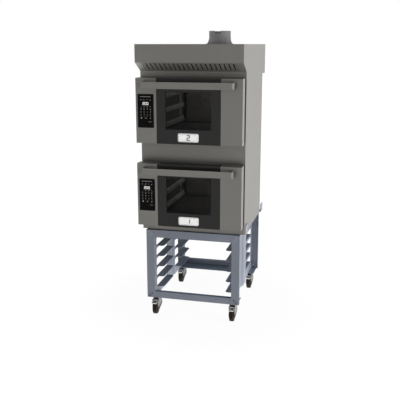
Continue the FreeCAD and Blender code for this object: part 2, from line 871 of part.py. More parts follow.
def door_inner_panel(z_oven):
    """The door's back sheet with its window and the two hinge lugs."""
    z0, z1 = door_span(z_oven)
    half, low, high = panel_window(z_oven)
    plate = box(-half_door, half_door, y_door_back - sheet, y_door_back, z0, z1)
    plate = plate.cut(box(-half, half, y_door_back - sheet, y_door_back, low, high))
    x1 = half_door - hinge_lug_inset
    x0 = x1 - hinge_lug_thickness
    zh = z0 + hinge_lift
    r = hinge_lug_radius
    arm = box(x0, x1, y_door_back - sheet, y_hinge, zh - r, zh + r)
    lug = fuse([arm, rod(r, (x0, y_hinge, zh), (x1, y_hinge, zh))])
    lug = cut(lug, [rod(hinge_pin_radius + hinge_clearance, (x0, y_hinge, zh), (x1, y_hinge, zh))])
    return fuse([plate] + both_sides(lug))


def hinge(z_oven):
    """The right hinge: a bracket on the front plate with the pin that carries the door's lug."""
    zh = door_span(z_oven)[0] + hinge_lift
    x_lug = half_door - hinge_lug_inset
    x1 = x_lug - hinge_lug_thickness - hinge_bracket_gap
    x0 = x1 - hinge_bracket_width
    r = hinge_bracket_radius
    nose = rod(r, (x0, y_hinge, zh), (x1, y_hinge, zh))
    arm = box(x0, x1, y_hinge, y_casing_front, zh - r, zh + r)
    pin = rod(hinge_pin_radius, (x1, y_hinge, zh), (x_lug + hinge_pin_proud, y_hinge, zh))
    return fuse([nose, arm, pin])


def door_glass(z_oven):
    """The outer glass, flush with the columns over the door's whole height."""
    z0, z1 = door_span(z_oven)
    return box(-half_glass, half_glass, y_door_front, y_door_front + outer_glass_thickness, z0, z1)


def door_inner_glass(z_oven):
    """The inner glass, lying against the inner panel round its window."""
    half, low, high = panel_window(z_oven)
    lap = inner_glass_lap
    y1 = y_door_back - sheet
    return box(-half - lap, half + lap, y1 - inner_glass_thickness, y1, low - lap, high + lap)


def handle(z_oven):
    """A bent sheet bar across the door, on feet against the columns."""
    z1 = door_span(z_oven)[1] - handle_drop
    z0 = z1 - handle_height
    half = handle_length / 2
    t = handle_sheet
    outer = box(-half, half, y_handle_front, y_door_front, z0, z1)
    front_edge = lambda middle: middle.y < y_handle_front + handle_reach / 2
    outer = rounded(outer, Vector(0, 0, 1), handle_bend, front_edge)
    inner = box(-half + t, half - t, y_handle_front + t, y_door_front, z0, z1)
    inner = rounded(inner, Vector(0, 0, 1), max(handle_bend - t, t / 2), front_edge)
    foot = box(half - t - handle_foot, half - t, y_door_front - t, y_door_front, z0, z1)
    return fuse([outer.cut(inner)] + both_sides(foot))


def control_fascia(z_oven):
    """The flat touch panel on the door's left column."""
    z0 = door_span(z_oven)[0] + fascia_lift
    x0 = -half_door + fascia_side
    y0 = y_door_front - fascia_thickness
    plate = box(x0, x0 + fascia_width, y0, y_door_front, z0, z0 + fascia_height)
    return rounded(plate, Vector(0, 1, 0), fascia_corner)


# Spacer and hood

def stacking_spacer():
    """A skirt between the ovens, with flanges turned in at top and bottom."""
    t = sheet
    outer = box(-half_casing, half_casing, y_casing_front, y_casing_back, z_spacer, z_upper_oven)
    hollow = box(-half_casing + t, half_casing - t, y_casing_front + t, y_casing_back - t,
                 z_spacer + t, z_upper_oven - t)
    f = spacer_flange
    through = box(-half_casing + f, half_casing - f, y_casing_front + f, y_casing_back - f,
                  z_spacer, z_upper_oven)
    return cut(outer, [hollow, through])


z_hood_foot = z_hood + hood_foot_height
z_hood_face = z_hood_top - hood_face_height
slope_rise = z_hood_face - z_hood_foot
slope_length = math.hypot(hood_front_overhang, slope_rise)


def slope_point(along, depth):
    """A point on the hood's slope: a distance down from its front edge and into the hood."""
    run = hood_front_overhang / slope_length
    rise = slope_rise / slope_length
    return y_hood_front + along * run + depth * rise, z_hood_face - along * rise + depth * run


def slope_slab(half, start, end, depth0, depth1):
    """A slab that follows the hood's slope."""
    corners = [slope_point(start, depth0), slope_point(end, depth0),
               slope_point(end, depth1), slope_point(start, depth1)]
    return prism_x(corners, -half, half)


def hood_shell():
    """The hood's skin, open at the slope for the louvres, below for the filter and above for the flue."""
    t = sheet
    lift = t * slope_length / hood_front_overhang
    fall = slope_rise / hood_front_overhang
    outline = [(y_hood_front, z_hood_top), (y_hood_front, z_hood_face), (y_casing_front, z_hood_foot),
               (y_casing_front, z_hood), (y_hood_back, z_hood), (y_hood_back, z_hood_top)]
    inline = [(y_hood_front + t, z_hood_top - t), (y_hood_front + t, z_hood_face - t * fall + lift),
              (y_casing_front + t, z_hood_foot - t * fall + lift), (y_casing_front + t, z_hood + t),
              (y_hood_back - t, z_hood + t), (y_hood_back - t, z_hood_top - t)]
    outer = prism_x(outline, -half_casing, half_casing)
    inner = prism_x(inline, -half_casing + t, half_casing - t)
    m = louvre_window_margin
    window = slope_slab(louvre_window_width / 2, m, slope_length - m, -t, 2 * t)
    r = hood_base_rim
    base = box(-half_casing + r, half_casing - r, y_casing_front + r, y_casing_back - r, z_hood, z_hood + t)
    x, y = flue_centre()
    passage = rod(flue_radius - sheet, (x, y, z_hood_top - t), (x, y, z_hood_top))
    return cut(outer, [inner, window, base, passage])


def louvre_panel():
    """The slotted sheet behind the slope's opening."""
    t = sheet
    half = louvre_window_width / 2 + louvre_lap
    m = louvre_window_margin - louvre_lap
    panel = slope_slab(half, m, slope_length - m, t, 2 * t)
    start = (slope_length - louvre_slot_length) / 2
    slots = []
    for index in range(louvre_count):
        x = (index - (louvre_count - 1) / 2) * louvre_pitch
        slot = slope_slab(louvre_slot_width / 2, start, start + louvre_slot_length, 0, 3 * t)
        slot.translate(Vector(x, 0, 0))
        slots.append(slot)
    return cut(panel, slots)


def grease_filter():
    """A slatted filter lying on the rim of the hood's base."""
    half = half_casing - hood_base_rim + filter_lap
    y0 = y_casing_front + hood_base_rim - filter_lap
    y1 = y_casing_back - hood_base_rim + filter_lap
    z0 = z_hood + sheet
    z1 = z0 + filter_height
    f = filter_frame
    frame = box(-half, half, y0, y1, z0, z1).cut(box(-half + f, half - f, y0 + f, y1 - f, z0, z1))
    pieces = [frame]
    step = (y1 - y0 - 2 * f) / (filter_slats + 1)
    for index in range(filter_slats):
        y = y0 + f + (index + 1) * step - filter_slat_thickness / 2
        pieces.append(box(-half + f, half - f, y, y + filter_slat_thickness, z0, z1))
    return fuse(pieces)


def flue_centre():
    """The flue's axis."""
    return flue_side, y_hood_back - flue_from_back


def square_wire(half, corner, z):
    """A square with rounded corners round the flue's axis, as eight edges."""
    x, y = flue_centre()
    flat = half - corner
    bow = corner * math.sqrt(0.5)
    edges = []
    for turn in range(4):
        spin = lambda a, b: Vector(x, y, z) + FreeCAD.Rotation(Vector(0, 0, 1), 90.0 * turn).multVec(
            Vector(a, b, 0))
        edges.append(Part.LineSegment(spin(half, -flat), spin(half, flat)).toShape())
        edges.append(Part.Arc(spin(half, flat), spin(flat + bow, flat + bow), spin(flat, half)).toShape())
    return Part.Wire(edges)


def round_wire(radius, z):
    """A circle round the flue's axis, split to match the square's eight edges."""
    x, y = flue_centre()
    spread = math.radians(flue_flat_spread)
    angles = []
    for turn in range(4):
        middle = turn * math.pi / 2
        angles += [middle - spread, middle + spread]
    angles.append(angles[0] + 2 * math.pi)
    at = lambda angle: Vector(x + radius * math.cos(angle), y + radius * math.sin(angle), z)
    edges = []
    for start, end in zip(angles, angles[1:]):
        edges.append(Part.Arc(at(start), at((start + end) / 2), at(end)).toShape())
    return Part.Wire(edges)


def flue_body(inset, z_base):
    """The square-to-round transition with the collar over it, drawn in by a wall."""
    z_neck = z_hood_top + flue_flange_thickness + flue_transition_height
    z_top = z_neck + flue_collar_height
    radius = flue_radius - inset
    corner = max(flue_square_corner - inset, flue_square_corner / 2)
    base = square_wire(flue_square / 2 - inset, corner, z_base)
    neck = Part.makeLoft([base, round_wire(radius, z_neck)], True, True)
    x, y = flue_centre()
    return fuse([neck, rod(radius, (x, y, z_neck), (x, y, z_top))])


def flue_collar():
    """The flue's flange, square-to-round transition and round collar with a notch in its front."""
    x, y = flue_centre()
    z0 = z_hood_top
    z1 = z0 + flue_flange_thickness
    z_top = z1 + flue_transition_height + flue_collar_height
    half = flue_flange / 2
    flange = box(x - half, x + half, y - half, y + half, z0, z1)
    flange = flange.cut(rod(flue_radius - sheet, (x, y, z0), (x, y, z1)))
    wall = flue_body(0, z1).cut(flue_body(sheet, z1))
    notch = box(x - flue_notch_width / 2, x + flue_notch_width / 2,
                y - 2 * flue_radius, y, z_top - flue_notch_depth, z_top)
    return cut(fuse([flange, wall]), [notch])


def build():
    """Writes every node."""
    os.makedirs("parts", exist_ok=True)
    right_side = side_frame()
    save("right_side_frame", right_side)
    save("left_side_frame", mirror_x(right_side))
    for place, front in (("front", True), ("rear", False)):
        save(place + "_bottom_beam", cross_beam(0, front))
        save(place + "_top_beam", cross_beam(1, front))
    save("frame_bolts", bolts())
    save("oven_pads", oven_pads())
    save("oven_retainers", oven_retainers())
    places = caster_places()
    save("caster_top_plates", [caster_top_plate(*spot) for spot in places.values()])
    for corner, spot in places.items():
        save("caster_fork_" + corner, caster_fork(*spot))
        save("caster_wheel_" + corner, caster_wheel(*spot))
        save("caster_brake_" + corner, caster_brake(*spot))
    ovens = {"lower": z_lower_oven, "upper": z_upper_oven}
    pieces = [chassis, casing_wrap, front_frame, cavity, tray_racks, fan_baffle, fan_wheel, fan_motor,
              heater, door_frame, door_inner_panel, door_glass, door_inner_glass, handle, control_fascia]
    for name, z_oven in ovens.items():
        for piece in pieces:
            save(name + "_" + piece.__name__, piece(z_oven))
    heights = list(ovens.values())
    save("door_gaskets", [gasket(z) for z in heights])
    save("door_hinges", [shape for z in heights for shape in both_sides(hinge(z))])
    save("cable_glands", [cable_gland(z) for z in heights])
    save("stacking_spacer", stacking_spacer())
    save("hood_shell", hood_shell())
    save("louvre_panel", louvre_panel())
    save("grease_filter", grease_filter())
    save("flue_collar", flue_collar())


build()
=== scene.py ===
"""Dresses the double convection oven: finishes, printed controls, small fittings, light and camera."""
import math

import bmesh
import bpy
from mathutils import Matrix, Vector


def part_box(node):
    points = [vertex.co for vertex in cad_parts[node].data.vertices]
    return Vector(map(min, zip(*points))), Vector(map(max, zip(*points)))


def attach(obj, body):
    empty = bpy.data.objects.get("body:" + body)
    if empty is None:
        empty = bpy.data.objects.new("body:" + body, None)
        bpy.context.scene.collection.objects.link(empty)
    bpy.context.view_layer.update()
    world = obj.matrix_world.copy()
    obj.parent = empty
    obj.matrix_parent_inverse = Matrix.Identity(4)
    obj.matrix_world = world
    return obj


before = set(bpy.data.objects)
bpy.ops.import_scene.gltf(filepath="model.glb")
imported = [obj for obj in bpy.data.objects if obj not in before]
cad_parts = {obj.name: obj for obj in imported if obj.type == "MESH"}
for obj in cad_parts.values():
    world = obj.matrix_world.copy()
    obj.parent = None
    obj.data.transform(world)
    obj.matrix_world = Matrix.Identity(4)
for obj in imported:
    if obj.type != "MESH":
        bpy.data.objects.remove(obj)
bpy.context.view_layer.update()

OVENS = ("lower", "upper")
CORNERS = ("front_left", "front_right", "rear_left", "rear_right")
MM = 0.001


# Shader helpers

# The part of 0 to 1 that noise mostly fills, and a tighter one for more contrast
NOISE_RANGE = (0.3, 0.7)
TIGHT_RANGE = (0.35, 0.65)


def material(name):
    """A new node material, its tree and its main shader."""
    mat = bpy.data.materials.new(name)
    mat.use_nodes = True
    return mat, mat.node_tree, mat.node_tree.nodes["Principled BSDF"]


def add(tree, kind, **values):
    """A node with its properties and unlinked inputs set; an underscore stands for a space."""
    node = tree.nodes.new(kind)
    for key, value in values.items():
        if hasattr(node, key):
            setattr(node, key, value)
        else:
            node.inputs[key.replace("_", " ")].default_value = value
    return node


def feed(tree, shader, **values):
    """Sets shader inputs to numbers or links them to sockets; an underscore stands for a space."""
    for key, value in values.items():
        socket = shader.inputs[key.replace("_", " ")]
        if isinstance(value, bpy.types.NodeSocket):
            tree.links.new(value, socket)
        else:
            socket.default_value = value


def axes(tree, space="Object"):
    """A texture coordinate's X, Y and Z values, by name."""
    coords = tree.nodes.new("ShaderNodeTexCoord")
    split = tree.nodes.new("ShaderNodeSeparateXYZ")
    tree.links.new(coords.outputs[space], split.inputs["Vector"])
    return split.outputs


def stretched(tree, stretch):
    """Object coordinates times a scale along each axis."""
    coords = tree.nodes.new("ShaderNodeTexCoord")
    mapping = add(tree, "ShaderNodeMapping", Scale=stretch)
    tree.links.new(coords.outputs["Object"], mapping.inputs["Vector"])
    return mapping.outputs["Vector"]


def noise(tree, scale, detail, stretch=(1, 1, 1)):
    """A noise value from 0 to 1."""
    node = add(tree, "ShaderNodeTexNoise", Scale=scale, Detail=detail, Roughness=0.5)
    tree.links.new(stretched(tree, stretch), node.inputs["Vector"])
    return node.outputs["Fac"]


def span(tree, value, source, target=(0.0, 1.0)):
    """A value carried from one range to another."""
    node = add(tree, "ShaderNodeMapRange", From_Min=source[0], From_Max=source[1],
               To_Min=target[0], To_Max=target[1])
    tree.links.new(value, node.inputs["Value"])
    return node.outputs["Result"]


def blend_colours(tree, factor, first, second):
    """A colour between two, by a factor. Each colour is a triple or a socket."""
    node = add(tree, "ShaderNodeMix", data_type="RGBA")
    tree.links.new(factor, node.inputs["Factor"])
    for socket, colour in ((node.inputs[6], first), (node.inputs[7], second)):
        if isinstance(colour, tuple):
            socket.default_value = (*colour, 1.0)
        else:
            tree.links.new(colour, socket)
    return node.outputs[2]


def math_node(tree, operation, first, second=0.0):
    """A sum, product or the like of two values, each a number or a socket."""
    node = add(tree, "ShaderNodeMath", operation=operation)
    for socket, value in zip(node.inputs, (first, second)):
        if isinstance(value, (int, float)):
            socket.default_value = value
        else:
            tree.links.new(value, socket)
    return node.outputs["Value"]


def bump(tree, shader, height, strength, distance):
    """Lets a height shape the shader's normal."""
    node = add(tree, "ShaderNodeBump", Strength=strength, Distance=distance)
    tree.links.new(height, node.inputs["Height"])
    tree.links.new(node.outputs["Normal"], shader.inputs["Normal"])


def crease(tree, distance):
    """0 in creases and 1 on open faces."""
    return add(tree, "ShaderNodeAmbientOcclusion", Distance=distance, samples=6).outputs["AO"]


def facing_up(tree):
    """1 on faces that look up at rest and 0 on the others."""
    return span(tree, axes(tree, "Normal")["Z"], (0.6, 0.9))


def inside_box(tree, low, high):
    """1 within a box and 0 outside it."""
    place = axes(tree)
    inside = 1.0
    for axis, start, end in zip("XYZ", low, high):
        after = math_node(tree, "GREATER_THAN", place[axis], start)
        before = math_node(tree, "LESS_THAN", place[axis], end)
        inside = math_node(tree, "MULTIPLY", math_node(tree, "MULTIPLY", after, before), inside)
    return inside


def toned(colour, share):
    """A colour made darker."""
    return tuple(share * value for value in colour)


# Kinds of finish

# Spans over which the painted shade in creases fades out to open faces; the second is darker
SOFT_CREASES = (0.35, 0.8)
DARK_CREASES = (0.45, 0.85)
SHEET_GRAIN = (6, 6, 700)
SMUDGE_SHARE = 0.72
GRAIN_SHARE = 0.28
# Tones of painted shade, as shares of the dark tone: in creases and on tops, and within a box
PAINTED_SHADE_TONE = 0.3
BOX_SHADE_TONE = 0.12


def sheet_metal(name, light, dark, metallic, rough, crease_reach=50 * MM, crease_span=SOFT_CREASES,
                shaded_top_share=0.0, shaded_box=None):
    """Satin sheet: fine level grain, soft smudges, painted shade in creases and, if wanted, painted
    shade on tops and within a box.
    """
    mat, tree, shader = material(name)
    fine = noise(tree, scale=1.0, detail=3.0, stretch=SHEET_GRAIN)
    smudge = noise(tree, scale=3.5, detail=5.0)
    mottle = noise(tree, scale=38.0, detail=3.0)
    cloud = math_node(tree, "MULTIPLY", smudge, SMUDGE_SHARE)
    grain = math_node(tree, "MULTIPLY", fine, GRAIN_SHARE)
    tone = math_node(tree, "ADD", cloud, grain)
    unshaded = blend_colours(tree, span(tree, tone, NOISE_RANGE), dark, light)
    # Painted shade: creases darken towards a dark copy of the sheet's tone
    painted_shade = toned(dark, PAINTED_SHADE_TONE)
    open_face = span(tree, crease(tree, crease_reach), crease_span)
    colour = blend_colours(tree, open_face, painted_shade, unshaded)
    # Painted shade: faces that look up darken, as little light falls on them
    if shaded_top_share:
        top = math_node(tree, "MULTIPLY", facing_up(tree), shaded_top_share)
        colour = blend_colours(tree, top, colour, painted_shade)
    # Painted shade: all within the box turns near black
    if shaded_box:
        colour = blend_colours(tree, inside_box(tree, *shaded_box), colour, toned(dark, BOX_SHADE_TONE))
    blotch = math_node(tree, "ADD", smudge, mottle)
    uneven = span(tree, blotch, (0.7, 1.3), (rough - 0.03, rough + 0.04))
    feed(tree, shader, Base_Color=colour, Metallic=metallic, Roughness=uneven)
    bump(tree, shader, fine, strength=0.25, distance=0.03 * MM)
    return mat


# Tint of the painted shade on the paint's tops, as shares of red, green and blue
TOP_SHADE_TINT = (0.88, 1.0, 1.1)


def powder_coat(name, light, dark, top_shade_tone):
    """Painted steel with a faint orange-peel skin, painted shade in its creases, and matt tops darkened
    by a tone as painted shade.
    """
    mat, tree, shader = material(name)
    top = facing_up(tree)
    peel = noise(tree, scale=900.0, detail=2.0)
    cloud = noise(tree, scale=5.0, detail=5.0)
    unshaded = blend_colours(tree, span(tree, cloud, TIGHT_RANGE), dark, light)
    # Painted shade: creases darken to half the dark tone
    open_face = span(tree, crease(tree, 20 * MM), (0.1, 0.7), (0.55, 1.0))
    colour = blend_colours(tree, open_face, toned(dark, 0.5), unshaded)
    # Painted shade: tops that look up turn darker and bluer, in patches
    top_shade_colour = tuple(tint * top_shade_tone * value for tint, value in zip(TOP_SHADE_TINT, dark))
    patchy_top_shade = blend_colours(tree, span(tree, cloud, NOISE_RANGE, (0.75, 1.0)), colour, top_shade_colour)
    colour = blend_colours(tree, top, colour, patchy_top_shade)
    satin = span(tree, cloud, NOISE_RANGE, (0.36, 0.5))
    matt_top = math_node(tree, "MULTIPLY", top, 0.8)
    rough = math_node(tree, "MAXIMUM", satin, matt_top)
    feed(tree, shader, Base_Color=colour, Metallic=0.0, Roughness=rough, Specular_IOR_Level=0.4)
    bump(tree, shader, peel, strength=0.2, distance=0.08 * MM)
    return mat


def zinc(name, light, dark, metallic=0.6, rough=0.33, below=None, edge=None):
    """Zinc-plated steel with a blotchy, cloudy skin, and another colour below an edge if wanted."""
    mat, tree, shader = material(name)
    cells = add(tree, "ShaderNodeTexVoronoi", Scale=260.0)
    tree.links.new(stretched(tree, (1, 1, 1)), cells.inputs["Vector"])
    cloud = noise(tree, scale=40.0, detail=4.0)
    tone = math_node(tree, "ADD", math_node(tree, "MULTIPLY", cells.outputs["Distance"], 0.4), cloud)
    colour = blend_colours(tree, span(tree, tone, (0.4, 0.9)), dark, light)
    if below:
        colour = blend_colours(tree, span(tree, axes(tree)["Z"], edge), below, colour)
    uneven = span(tree, cloud, NOISE_RANGE, (rough - 0.08, rough + 0.08))
    feed(tree, shader, Base_Color=colour, Metallic=metallic, Roughness=uneven)
    bump(tree, shader, cloud, strength=0.15, distance=0.1 * MM)
    return mat


def stand_bolts():
    """Zinc bolts toned by place: a painted highlight at the back, mid grey at the front and darker low
    at the front.
    """
    mat, tree, shader = material("stand_bolts")
    place = axes(tree)
    above_low = span(tree, place["Z"], (0.2, 0.35))
    behind = span(tree, place["Y"], (-0.1, 0.1))
    cloud = noise(tree, scale=40.0, detail=4.0)
    # Painted highlight: the bolts at the back are bright; the front ones are greyer, and darker still
    # low down
    bright = blend_colours(tree, cloud, (0.52, 0.52, 0.52), (0.7, 0.7, 0.69))
    front_grey = blend_colours(tree, cloud, (0.27, 0.285, 0.32), (0.38, 0.4, 0.44))
    low_dark = blend_colours(tree, cloud, (0.08, 0.083, 0.09), (0.14, 0.145, 0.155))
    front = blend_colours(tree, above_low, low_dark, front_grey)
    colour = blend_colours(tree, behind, front, bright)
    uneven = span(tree, cloud, NOISE_RANGE, (0.24, 0.4))
    feed(tree, shader, Base_Color=colour, Metallic=0.5, Roughness=uneven)
    bump(tree, shader, cloud, strength=0.15, distance=0.1 * MM)
    return mat


def dull(name, light, dark, rough):
    """Rubber, dark coating or moulded plastic: a mottled, finely grained matt skin."""
    mat, tree, shader = material(name)
    grain = noise(tree, scale=220.0, detail=3.0)
    cloud = noise(tree, scale=18.0, detail=4.0)
    colour = blend_colours(tree, span(tree, cloud, NOISE_RANGE), dark, light)
    uneven = span(tree, grain, NOISE_RANGE, (rough - 0.08, rough + 0.08))
    feed(tree, shader, Base_Color=colour, Roughness=uneven, Specular_IOR_Level=0.35)
    bump(tree, shader, grain, strength=0.3, distance=0.15 * MM)
    return mat


# Radius where a wheel's hub meets its tread, as a share of the wheel's diameter
HUB_EDGE = (0.345, 0.352)


def wheel_rubber():
    """A dark tread round a hub that is slightly lighter."""
    mat, tree, shader = material("wheel_rubber")
    place = axes(tree, "Generated")
    away = []
    for axis in ("Y", "Z"):
        offset = math_node(tree, "SUBTRACT", place[axis], 0.5)
        away.append(math_node(tree, "MULTIPLY", offset, offset))
    radius = math_node(tree, "SQRT", math_node(tree, "ADD", *away))
    grain = noise(tree, scale=160.0, detail=4.0)
    mottle = span(tree, grain, NOISE_RANGE)
    tread = blend_colours(tree, mottle, (0.009, 0.0062, 0.0042), (0.018, 0.0135, 0.0098))
    hub = blend_colours(tree, mottle, (0.014, 0.011, 0.009), (0.022, 0.018, 0.015))
    colour = blend_colours(tree, span(tree, radius, HUB_EDGE), hub, tread)
    uneven = span(tree, grain, NOISE_RANGE, (0.5, 0.75))
    feed(tree, shader, Base_Color=colour, Roughness=uneven, Specular_IOR_Level=0.15)
    bump(tree, shader, grain, strength=0.3, distance=0.2 * MM)
    return mat


# The clear window in a door glass: half width, ends above the glass's lower edge, and soft rim
WINDOW_HALF = 130 * MM
WINDOW_BOTTOM = 78 * MM
WINDOW_TOP = 285 * MM
WINDOW_RIM = 6 * MM
WINDOW_TINT = (0.004, 0.004, 0.004)
BORDER_BLACK = (0.033, 0.033, 0.032)


def window_glass(node):
    """Black-bordered door glass: clear and smoked inside the border, opaque outside it."""
    low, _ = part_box(node)
    middle = low.z + (WINDOW_BOTTOM + WINDOW_TOP) / 2
    half_height = (WINDOW_TOP - WINDOW_BOTTOM) / 2
    mat, tree, shader = material(node + "_finish")
    place = axes(tree)
    aside = math_node(tree, "ABSOLUTE", place["X"])
    across = math_node(tree, "SUBTRACT", WINDOW_HALF, aside)
    up = math_node(tree, "ABSOLUTE", math_node(tree, "SUBTRACT", place["Z"], middle))
    upright = math_node(tree, "SUBTRACT", half_height, up)
    inside = math_node(tree, "MINIMUM", across, upright)
    border = span(tree, inside, (0.0, WINDOW_RIM), (1.0, 0.0))
    smear = noise(tree, scale=9.0, detail=5.0)
    feed(tree, shader, Base_Color=blend_colours(tree, border, WINDOW_TINT, BORDER_BLACK),
         Alpha=span(tree, border, (0.0, 1.0), (0.34, 1.0)),
         Roughness=span(tree, smear, TIGHT_RANGE, (0.06, 0.16)), Specular_IOR_Level=0.12)
    return mat


def clear_glass():
    """Clear inner glass with a faint film."""
    mat, tree, shader = material("inner_glass")
    film = noise(tree, scale=14.0, detail=5.0)
    feed(tree, shader, Base_Color=blend_colours(tree, film, (0.02, 0.019, 0.018), (0.04, 0.038, 0.035)),
         Alpha=span(tree, film, NOISE_RANGE, (0.03, 0.12)),
         Roughness=span(tree, film, NOISE_RANGE, (0.05, 0.14)), Specular_IOR_Level=0.1)
    return mat


def gloss_black():
    """Gloss black touch panel with faint fingerprints."""
    mat, tree, shader = material("panel_black")
    prints = noise(tree, scale=60.0, detail=5.0)
    colour = blend_colours(tree, prints, (0.004, 0.0035, 0.0035), (0.008, 0.007, 0.007))
    uneven = span(tree, prints, TIGHT_RANGE, (0.1, 0.24))
    feed(tree, shader, Base_Color=colour, Roughness=uneven, Specular_IOR_Level=0.03)
    return mat


def printed(name, colour, glow=0.0):
    """Ink, a plate's white or a lit mark, slightly uneven; a glow on ink or on the plate is painted
    light.
    """
    mat, tree, shader = material(name)
    uneven = noise(tree, scale=500.0, detail=2.0)
    ink = blend_colours(tree, uneven, toned(colour, 0.8), colour)
    feed(tree, shader, Base_Color=ink, Roughness=0.45)
    if glow:
        feed(tree, shader, Emission_Color=ink, Emission_Strength=glow)
    return mat


# Where painted shade lies: in the hood behind the casing's front, and on the lower door's top over its
# glass

def hood_inside():
    """The box within the hood's sheets, behind the casing's front."""
    sheet = 0.6 * MM
    low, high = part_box("hood_shell")
    casing_low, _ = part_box("upper_casing_wrap")
    return ((low.x + sheet, casing_low.y + sheet, low.z + sheet),
            (high.x - sheet, high.y - sheet, high.z - sheet))


def lower_door_top():
    """The box round the lower door's top rail, without the inner panel's back."""
    rail_depth = 40 * MM
    above = 5 * MM
    behind = 0.3 * MM
    glass_low, glass_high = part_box("lower_door_glass")
    frame_low, frame_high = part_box("lower_door_frame")
    return ((glass_low.x, frame_low.y, glass_high.z - rail_depth),
            (glass_high.x, frame_high.y + behind, glass_high.z + above))


# The part's finishes, each between a light and a dark tone

OVEN_SHEET = {"light": (0.235, 0.226, 0.21), "dark": (0.216, 0.208, 0.193),
              "metallic": 0.12, "rough": 0.48}
# Painted shade lies in the creases of all these sheets, darker on the oven and the doors
OVEN_STEEL = sheet_metal("oven_steel", **OVEN_SHEET, crease_span=DARK_CREASES)
# The doors carry painted shade on their tops and over the lower glass's top rail
DOOR_STEEL = sheet_metal("door_steel", **OVEN_SHEET, crease_span=DARK_CREASES, shaded_top_share=0.9,
                         shaded_box=lower_door_top())
# The hood's inside, seen through the louvres, carries painted shade
HOOD_STEEL = sheet_metal("hood_steel", **OVEN_SHEET, crease_reach=10 * MM, shaded_box=hood_inside())
FLUE_STEEL = sheet_metal("flue_steel", (0.2, 0.2, 0.199), (0.17, 0.17, 0.169),
                         metallic=0.0, rough=0.65)
CAVITY_STEEL = sheet_metal("cavity_steel", (0.1, 0.095, 0.09), (0.06, 0.057, 0.052),
                           metallic=0.3, rough=0.45)
BAFFLE_STEEL = sheet_metal("baffle_steel", (0.26, 0.242, 0.218), (0.2, 0.186, 0.168),
                           metallic=0.2, rough=0.45)
RACK_STEEL = sheet_metal("rack_steel", (0.5, 0.49, 0.475), (0.4, 0.392, 0.38),
                         metallic=0.3, rough=0.4)
FILTER_METAL = sheet_metal("filter_metal", (0.3, 0.3, 0.3), (0.2, 0.2, 0.2),
                           metallic=0.6, rough=0.4)
MOTOR_METAL = zinc("motor_metal", (0.45, 0.45, 0.45), (0.3, 0.3, 0.3))
HEATER_TUBE = dull("heater_tube", (0.06, 0.055, 0.05), (0.03, 0.028, 0.026), rough=0.6)
PAINT = {"light": (0.265, 0.292, 0.35), "dark": (0.235, 0.26, 0.312)}
# The frames and the beams differ only in how dark the painted shade on their tops is
STAND_PAINT = powder_coat("stand_paint", **PAINT, top_shade_tone=0.52)
BEAM_PAINT = powder_coat("beam_paint", **PAINT, top_shade_tone=0.75)
STAND_BOLTS = stand_bolts()
# The caster forks go dark towards the floor, below an edge
FORK_FOOT_DARK = (0.022, 0.019, 0.016)
CASTER_STEEL = zinc("caster_steel", (0.25, 0.243, 0.24), (0.17, 0.165, 0.16), metallic=0.1, rough=0.5,
                    below=FORK_FOOT_DARK, edge=(35 * MM, 62 * MM))
BOLT_STEEL = zinc("bolt_steel", (0.12, 0.125, 0.14), (0.06, 0.063, 0.07))
# Painted highlight: the brake pedals turn light below an edge, placing their glint at the front, and
# stay dull above it
PEDAL_GLINT_TONE = (0.84, 0.84, 0.83)
PEDAL_STEEL = zinc("pedal_steel", (0.24, 0.235, 0.23), (0.17, 0.165, 0.16), metallic=0.9, rough=0.2,
                   below=PEDAL_GLINT_TONE, edge=(86 * MM, 88 * MM))
GASKET_RUBBER = dull("gasket_rubber", (0.045, 0.044, 0.043), (0.025, 0.025, 0.024), rough=0.65)
GLAND_PLASTIC = dull("gland_plastic", (0.04, 0.04, 0.04), (0.02, 0.02, 0.02), rough=0.45)
PANEL_BLACK = gloss_black()
INNER_GLASS = clear_glass()
WHEEL_RUBBER = wheel_rubber()
# The printed inks and the plate's white glow a little though no lamp is behind them: painted light. The
# display's digits are lit.
INK_GREY = printed("ink_grey", (0.46, 0.44, 0.44), glow=0.25)
INK_RED = printed("ink_red", (0.26, 0.11, 0.085), glow=0.12)
INK_AMBER = printed("ink_amber", (0.11, 0.085, 0.02), glow=0.04)
LED_WHITE = printed("led_white", (0.72, 0.71, 0.73), glow=0.75)
PLATE_WHITE = printed("plate_white", (0.88, 0.88, 0.87), glow=0.45)
PLATE_INK = printed("plate_ink", (0.03, 0.03, 0.03))


# Finishes on the CAD nodes

SHARED_FINISHES = {
    OVEN_STEEL: ["stacking_spacer"],
    HOOD_STEEL: ["hood_shell", "louvre_panel"],
    FLUE_STEEL: ["flue_collar"],
    FILTER_METAL: ["grease_filter"],
    GASKET_RUBBER: ["door_gaskets", "oven_pads"],
    GLAND_PLASTIC: ["cable_glands"],
    STAND_PAINT: ["left_side_frame", "right_side_frame", "oven_retainers"],
    BEAM_PAINT: ["front_top_beam", "front_bottom_beam", "rear_top_beam", "rear_bottom_beam"],
    STAND_BOLTS: ["frame_bolts"],
    BOLT_STEEL: ["door_hinges"],
    CASTER_STEEL: ["caster_top_plates"] + ["caster_fork_" + corner for corner in CORNERS],
    WHEEL_RUBBER: ["caster_wheel_" + corner for corner in CORNERS],
    PEDAL_STEEL: ["caster_brake_" + corner for corner in CORNERS],
}
OVEN_FINISHES = {
    OVEN_STEEL: ["casing_wrap", "chassis", "front_frame", "handle"],
    DOOR_STEEL: ["door_frame", "door_inner_panel"],
    CAVITY_STEEL: ["cavity"],
    BAFFLE_STEEL: ["fan_baffle"],
    RACK_STEEL: ["tray_racks"],
    MOTOR_METAL: ["fan_motor", "fan_wheel"],
    HEATER_TUBE: ["heater"],
    INNER_GLASS: ["door_inner_glass"],
    PANEL_BLACK: ["control_fascia"],
}


def dress(node, finish):
    """Puts one finish on a node."""
    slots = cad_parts[node].data.materials
    slots.clear()
    slots.append(finish)


